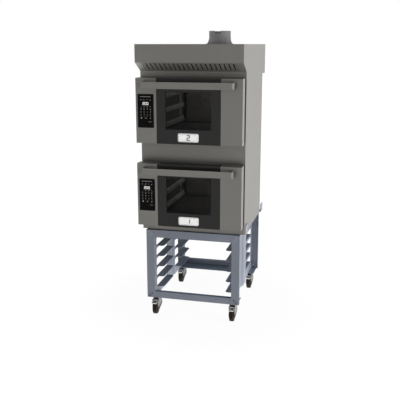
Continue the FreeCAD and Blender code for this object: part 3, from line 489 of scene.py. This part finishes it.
def finish_nodes():
    """Gives every node its finish."""
    for finish, names in SHARED_FINISHES.items():
        for name in names:
            dress(name, finish)
    for oven in OVENS:
        for finish, names in OVEN_FINISHES.items():
            for name in names:
                dress(oven + "_" + name, finish)
        dress(oven + "_door_glass", window_glass(oven + "_door_glass"))


# Mesh helpers

def put_in_scene(obj):
    """Links an object to the scene."""
    bpy.context.scene.collection.objects.link(obj)


def piece(name, build, finish, body):
    """A new piece made by a function that fills a bmesh, riding on a body."""
    mesh = bpy.data.meshes.new(name)
    bm = bmesh.new()
    build(bm)
    bmesh.ops.recalc_face_normals(bm, faces=bm.faces)
    bm.to_mesh(mesh)
    bm.free()
    mesh.materials.append(finish)
    obj = bpy.data.objects.new(name, mesh)
    put_in_scene(obj)
    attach(obj, body)


def tile(bm, outline, y_front, y_back):
    """A flat shape given as (x, z) points, standing between two depths."""
    front = [bm.verts.new((x, y_front, z)) for x, z in outline]
    back = [bm.verts.new((x, y_back, z)) for x, z in outline]
    bm.faces.new(front)
    bm.faces.new(list(reversed(back)))
    count = len(outline)
    for index in range(count):
        after = (index + 1) % count
        bm.faces.new((front[index], back[index], back[after], front[after]))


def flat_marks(name, outlines, y_face, thickness, finish, body):
    """Flat shapes that stand out from a face to the front, as one piece."""
    def build(bm):
        for outline in outlines:
            tile(bm, outline, y_face - thickness, y_face)
    piece(name, build, finish, body)


def rectangle(x, z, width, height):
    """A rectangle's corners round its middle."""
    left, right = x - width / 2, x + width / 2
    bottom, top = z - height / 2, z + height / 2
    return [(left, bottom), (right, bottom), (right, top), (left, top)]


def rounded_rectangle(x, z, width, height, radius):
    """A rectangle with round corners."""
    steps = 6
    points = []
    for quarter, (right, up) in enumerate(((1, 1), (-1, 1), (-1, -1), (1, -1))):
        middle_x = x + right * (width / 2 - radius)
        middle_z = z + up * (height / 2 - radius)
        for step in range(steps + 1):
            angle = math.radians(90 * quarter + 90 * step / steps)
            points.append((middle_x + radius * math.cos(angle), middle_z + radius * math.sin(angle)))
    return points


# Seven-segment digits and key marks

SEGMENTS = {"0": "abcdef", "1": "bc", "2": "abged", "3": "abgcd", "4": "fgbc", "5": "afgcd",
            "6": "afgedc", "7": "abc", "8": "abcdefg", "9": "abcdfg"}


def digit_tiles(text, x, z, width, height, stroke):
    """The lit bars of one digit round its middle."""
    side = (width - stroke) / 2
    end = (height - stroke) / 2
    upright = end - 0.1 * stroke
    bars = {
        "a": (0, end, width, stroke),
        "b": (side, end / 2, stroke, upright),
        "c": (side, -end / 2, stroke, upright),
        "d": (0, -end, width, stroke),
        "e": (-side, -end / 2, stroke, upright),
        "f": (-side, end / 2, stroke, upright),
        "g": (0, 0, width - stroke, stroke),
    }
    tiles = []
    for bar in SEGMENTS[text]:
        right, up, bar_width, bar_height = bars[bar]
        tiles.append(rectangle(x + right, z + up, bar_width, bar_height))
    return tiles


def ring_tiles(x, z, radius, stroke):
    """A ring as short bars set edge to edge."""
    steps = 16
    tiles = []
    for step in range(steps):
        start, end = (2 * math.pi * (step + shift) / steps for shift in (0, 1))
        corners = ((radius, start), (radius, end), (radius - stroke, end), (radius - stroke, start))
        outline = [(x + away * math.cos(angle), z + away * math.sin(angle)) for away, angle in corners]
        tiles.append(outline)
    return tiles


def strip_tiles(outer, inner):
    """A line drawn between two like outlines, as short bars set edge to edge."""
    tiles = []
    for index in range(len(outer)):
        after = (index + 1) % len(outer)
        tiles.append([outer[index], outer[after], inner[after], inner[index]])
    return tiles


def mark_tiles(kind, x, z, size):
    """A generic key mark: bars, ring, cross, arrow or square."""
    half = size / 2
    stroke = size / 6
    if kind == "ring":
        return ring_tiles(x, z, half, stroke)
    if kind == "cross":
        arm = size / 2.2
        return [rectangle(x, z, size, stroke), rectangle(x, z + size / 3, stroke, arm),
                rectangle(x, z - size / 3, stroke, arm)]
    if kind == "up":
        return [[(x - half, z - half), (x + half, z - half), (x, z + half)]]
    if kind == "down":
        return [[(x - half, z + half), (x, z - half), (x + half, z + half)]]
    if kind == "square":
        return [rectangle(x, z, size, size)]
    return [rectangle(x, z + shift * size, size, stroke) for shift in (-0.35, 0.0, 0.35)]


# Places on a touch panel, in millimetres to the right and down from its top left corner
FASCIA_COLUMNS = (18.5, 36.5, 54.5, 72.5)
RULE_MIDDLE = (44.0, 14.0)
STATUS_ROW = 30.5
DISPLAY_MIDDLE = (44.5, 51.0)
KEY_ROWS = (67.0, 82.0, 97.0, 112.0)
RED_ROWS = (75.5, 121.0)
LOW_ROW = 130.0
LOW_COLUMNS = (20.0, 46.0, 72.0)
AMBER_MIDDLE = (70.0, 150.0)

# What stands there
STATUS_MARKS = ("bars", "ring", "cross", "up")
DISPLAY_TEXT = "200"
KEY_DIGITS = ("1234", "5678", "90", "")
KEY_MARKS = ("up", "down", "cross", "bars")
LOW_MARKS = ("square", "ring", "up")

# Its sizes: digits have a width, height and stroke, bars a width and height
INK = 0.15 * MM
DISPLAY_DIGIT = (10 * MM, 15 * MM, 2.4 * MM)
DISPLAY_PITCH = 12 * MM
KEY_DIGIT = (4 * MM, 5 * MM, 0.9 * MM)
KEY_MARK = 4.5 * MM
STATUS_MARK = 5 * MM
LOW_MARK = 6 * MM
RULE_BAR = (60 * MM, 1.6 * MM)
RED_BAR = (9 * MM, 1 * MM)
AMBER_BAR = (19 * MM, 4 * MM)


def fascia_graphics(oven):
    """The marks on a touch panel: a rule, status marks, a lit three-digit display and key marks."""
    low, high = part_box(oven + "_control_fascia")

    def at(right, down):
        return low.x + right * MM, high.z - down * MM

    def marks(name, tiles, finish):
        flat_marks(oven + "_" + name, tiles, low.y, INK, finish, oven + "_door")

    display = []
    x, z = at(*DISPLAY_MIDDLE)
    for index, text in enumerate(DISPLAY_TEXT):
        display += digit_tiles(text, x + (index - 1) * DISPLAY_PITCH, z, *DISPLAY_DIGIT)
    marks("display_digits", display, LED_WHITE)

    grey = [rectangle(*at(*RULE_MIDDLE), *RULE_BAR)]
    for right, kind in zip(FASCIA_COLUMNS, STATUS_MARKS):
        grey += mark_tiles(kind, *at(right, STATUS_ROW), STATUS_MARK)
    for down, digits in zip(KEY_ROWS, KEY_DIGITS):
        for column, right in enumerate(FASCIA_COLUMNS):
            x, z = at(right, down)
            if column < len(digits):
                grey += digit_tiles(digits[column], x, z, *KEY_DIGIT)
            else:
                grey += mark_tiles(KEY_MARKS[column], x, z, KEY_MARK)
    for right, kind in zip(LOW_COLUMNS, LOW_MARKS):
        grey += mark_tiles(kind, *at(right, LOW_ROW), LOW_MARK)
    marks("key_marks", grey, INK_GREY)

    red = [rectangle(*at(right, down), *RED_BAR) for down in RED_ROWS for right in FASCIA_COLUMNS]
    marks("key_bars", red, INK_RED)
    marks("amber_mark", [rectangle(*at(*AMBER_MIDDLE), *AMBER_BAR)], INK_AMBER)


# The deck plates, whose middle stands above the glass's lower edge
PLATE_RISE = 37 * MM
PLATE_SIZE = (116 * MM, 46 * MM)
PLATE_ROUNDING = 9 * MM
PLATE_THICKNESS = 0.8 * MM
DECK_DIGIT = (19 * MM, 30 * MM, 5 * MM)

# The two edges of a plate's printed line: how much less wide and high, and how much less round
LINE_EDGES = ((7 * MM, 3 * MM), (10 * MM, 4.5 * MM))


def deck_plate(oven, number):
    """A plain white plate on the glass with the deck's number."""
    low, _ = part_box(oven + "_door_glass")
    body = oven + "_door"
    x, z = 0.0, low.z + PLATE_RISE
    width, height = PLATE_SIZE
    plate = rounded_rectangle(x, z, width, height, PLATE_ROUNDING)
    line = [rounded_rectangle(x, z, width - less, height - less, PLATE_ROUNDING - sharper)
            for less, sharper in LINE_EDGES]
    ink = digit_tiles(number, x, z, *DECK_DIGIT) + strip_tiles(*line)
    flat_marks(oven + "_deck_plate", [plate], low.y, PLATE_THICKNESS, PLATE_WHITE, body)
    flat_marks(oven + "_deck_number", ink, low.y - PLATE_THICKNESS, INK, PLATE_INK, body)


# Small fasteners

# A screw head's rings from its foot up, each with a radius and a height, and its dimple's height,
# all as shares of the head's radius
SCREW_RINGS = ((1.0, 0.0), (1.0, 0.25), (0.8, 0.5), (0.45, 0.62))
SCREW_DIMPLE = 0.35
SCREW_STEPS = 16
PANEL_SCREW = 3.2 * MM
PANEL_INSET = 14 * MM
FLUE_SCREW = 2.5 * MM
FLUE_INSET = 6 * MM
FLUE_FLANGE = 2 * MM


def screw(bm, place, normal, radius):
    """A domed screw head with a dimple, sitting on a face."""
    turn = Vector((0, 0, 1)).rotation_difference(Vector(normal)).to_matrix()

    def corner(right, up, lift):
        return bm.verts.new(Vector(place) + turn @ Vector((right, up, lift)))

    angles = [2 * math.pi * step / SCREW_STEPS for step in range(SCREW_STEPS)]
    loops = []
    for scale, lift in SCREW_RINGS:
        across = radius * scale
        loops.append([corner(across * math.cos(angle), across * math.sin(angle), radius * lift)
                      for angle in angles])
    for lower, upper in zip(loops, loops[1:]):
        for step in range(SCREW_STEPS):
            after = (step + 1) % SCREW_STEPS
            bm.faces.new((lower[step], lower[after], upper[after], upper[step]))
    dimple = corner(0, 0, radius * SCREW_DIMPLE)
    rim = loops[-1]
    for step in range(SCREW_STEPS):
        bm.faces.new((rim[step], rim[(step + 1) % SCREW_STEPS], dimple))
    bm.faces.new(list(reversed(loops[0])))


def screw_row(name, places, normal, radius):
    """A group of like screws."""
    def build(bm):
        for place in places:
            screw(bm, place, normal, radius)
    piece(name, build, BOLT_STEEL, "root")


def evenly(start, end, count):
    """Numbers evenly spaced between two ends."""
    return [start + (end - start) * index / (count - 1) for index in range(count)]


def oven_back_screws(oven):
    """Screws round an oven's back."""
    low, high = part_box(oven + "_chassis")
    left, right = low.x + PANEL_INSET, high.x - PANEL_INSET
    bottom, top = low.z + PANEL_INSET, high.z - PANEL_INSET
    places = []
    for x in evenly(left, right, 5):
        places += [(x, high.y, bottom), (x, high.y, top)]
    for z in evenly(bottom, top, 4)[1:-1]:
        places += [(left, high.y, z), (right, high.y, z)]
    screw_row(oven + "_back_screws", places, (0, 1, 0), PANEL_SCREW)


def hood_back_screws():
    """Two rows of screws on the hood's back."""
    low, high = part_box("hood_shell")
    places = [(x, high.y, z) for x in evenly(low.x + PANEL_INSET, high.x - PANEL_INSET, 5)
              for z in (low.z + PANEL_INSET, high.z - PANEL_INSET)]
    screw_row("hood_back_screws", places, (0, 1, 0), PANEL_SCREW)


def flue_screws():
    """A screw in each corner of the flue's flange."""
    low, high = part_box("flue_collar")
    places = [(x, y, low.z + FLUE_FLANGE) for x in (low.x + FLUE_INSET, high.x - FLUE_INSET)
              for y in (low.y + FLUE_INSET, high.y - FLUE_INSET)]
    screw_row("flue_screws", places, (0, 0, 1), FLUE_SCREW)


# Floor and world

FLOOR_HALF = 30.0
AMBIENT = 0.07


def background_rays(tree):
    """1 for rays that should see the white background."""
    path = tree.nodes.new("ShaderNodeLightPath")
    seen = math_node(tree, "MAXIMUM", path.outputs["Is Camera Ray"], path.outputs["Is Glossy Ray"])
    return math_node(tree, "MAXIMUM", seen, path.outputs["Is Transmission Ray"])


def floor_white():
    """Pale matt ground that shows as white, with a little of its shadow near the part."""
    mat, tree, shader = material("floor_white")
    feed(tree, shader, Base_Color=(0.6, 0.6, 0.6, 1), Roughness=0.8, Specular_IOR_Level=0.0)
    glow = add(tree, "ShaderNodeEmission", Color=(1, 1, 1, 1), Strength=1.06)
    coords = tree.nodes.new("ShaderNodeTexCoord")
    away = add(tree, "ShaderNodeVectorMath", operation="LENGTH")
    tree.links.new(coords.outputs["Object"], away.inputs[0])
    plain = span(tree, away.outputs["Value"], (0.5, 1.6), (0.9, 1.0))
    mix = tree.nodes.new("ShaderNodeMixShader")
    tree.links.new(math_node(tree, "MULTIPLY", background_rays(tree), plain), mix.inputs["Fac"])
    tree.links.new(shader.outputs["BSDF"], mix.inputs[1])
    tree.links.new(glow.outputs["Emission"], mix.inputs[2])
    tree.links.new(mix.outputs["Shader"], tree.nodes["Material Output"].inputs["Surface"])
    return mat


def make_floor():
    """A wide, level floor."""
    corners = [(-FLOOR_HALF, -FLOOR_HALF, 0), (FLOOR_HALF, -FLOOR_HALF, 0),
               (FLOOR_HALF, FLOOR_HALF, 0), (-FLOOR_HALF, FLOOR_HALF, 0)]
    mesh = bpy.data.meshes.new("floor")
    mesh.from_pydata(corners, [], [(0, 1, 2, 3)])
    mesh.materials.append(floor_white())
    floor = bpy.data.objects.new("floor", mesh)
    put_in_scene(floor)


def make_world():
    """White to the camera, in reflections and through glass, a plain dim sky for the rest."""
    world = bpy.data.worlds.new("studio")
    bpy.context.scene.world = world
    world.use_nodes = True
    tree = world.node_tree
    tree.nodes.clear()
    sky = add(tree, "ShaderNodeBackground", Color=(1, 1, 1, 1), Strength=AMBIENT)
    white = add(tree, "ShaderNodeBackground", Color=(1, 1, 1, 1), Strength=1.0)
    mix = tree.nodes.new("ShaderNodeMixShader")
    tree.links.new(background_rays(tree), mix.inputs["Fac"])
    tree.links.new(sky.outputs["Background"], mix.inputs[1])
    tree.links.new(white.outputs["Background"], mix.inputs[2])
    output = tree.nodes.new("ShaderNodeOutputWorld")
    tree.links.new(mix.outputs["Shader"], output.inputs["Surface"])


# Lights

# Each soft light's name, place, aim, size, power, and whether it shows in reflections
AREA_LIGHTS = (
    ("key_right", (4.6, -0.5, 1.5), (0, 0, 0.9), 2.8, 203, True),
    ("fill_front", (-0.7, -3.0, 0.5), (0, 0, 0.6), 1.4, 24, False),
    ("back_left", (-3.4, 2.6, 2.4), (0, 0, 1.2), 2.2, 50, False),
    ("fill_stand", (2.16, -1.88, 0.3), (-0.23, 0.1, 0.3), 0.7, 8, False),
    ("fill_flue", (-0.35, -0.25, 2.0), (0.05, 0.2, 1.65), 0.3, 2.6, False),
    ("floor_bounce", (0.05, 0.0, 0.01), (0.05, 0.0, 1.0), 0.6, 2.4, False),
    ("rim_low_left", (-0.355, -0.35, 1.43), (-0.28, -0.365, 1.5), 0.05, 0.1, False),
)

# An oven's lamp: power, radius, and its place from the cavity's right side, front and top
LAMP_POWER = 1.7
LAMP_RADIUS = 30 * MM
LAMP_FROM_RIGHT = 25 * MM
LAMP_SHARE_OF_DEPTH = 0.85
LAMP_FROM_TOP = 60 * MM


def area_light(name, place, target, size, power, seen):
    """A square soft light aimed at a point, seen or not seen in reflections."""
    data = bpy.data.lights.new(name, "AREA")
    data.size = size
    data.energy = power
    light = bpy.data.objects.new(name, data)
    light.location = place
    light.visible_glossy = seen
    light.visible_camera = False
    light.rotation_euler = (Vector(target) - Vector(place)).to_track_quat("-Z", "Y").to_euler()
    put_in_scene(light)


def cavity_lamp(oven):
    """The small lamp that lights an oven's inside."""
    low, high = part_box(oven + "_cavity")
    data = bpy.data.lights.new(oven + "_lamp", "POINT")
    data.energy = LAMP_POWER
    data.shadow_soft_size = LAMP_RADIUS
    lamp = bpy.data.objects.new(oven + "_lamp", data)
    y = low.y + LAMP_SHARE_OF_DEPTH * (high.y - low.y)
    lamp.location = (high.x - LAMP_FROM_RIGHT, y, high.z - LAMP_FROM_TOP)
    lamp.visible_glossy = False
    put_in_scene(lamp)


def make_lights():
    """The soft lights and the oven lamps."""
    for light in AREA_LIGHTS:
        area_light(*light)
    for oven in OVENS:
        cavity_lamp(oven)


# Camera

SENSOR_WIDTH = 36.0
LENS = 59.02
CAMERA_PLACE = (0.9362, -3.7731, 1.5803)
CAMERA_DOWN = 13.32
CAMERA_TURN = 14.27


def make_camera():
    """The photograph's camera."""
    data = bpy.data.cameras.new("camera")
    data.sensor_width = SENSOR_WIDTH
    data.lens = LENS
    camera = bpy.data.objects.new("camera", data)
    camera.location = CAMERA_PLACE
    camera.rotation_euler = (math.radians(90 - CAMERA_DOWN), 0, math.radians(CAMERA_TURN))
    put_in_scene(camera)
    bpy.context.scene.camera = camera


finish_nodes()
for oven_name, deck_number in (("lower", "1"), ("upper", "2")):
    fascia_graphics(oven_name)
    deck_plate(oven_name, deck_number)
for oven_name in OVENS:
    oven_back_screws(oven_name)
hood_back_screws()
flue_screws()
make_floor()
make_world()
make_lights()
make_camera()
bpy.context.scene.view_settings.view_transform = "Standard"
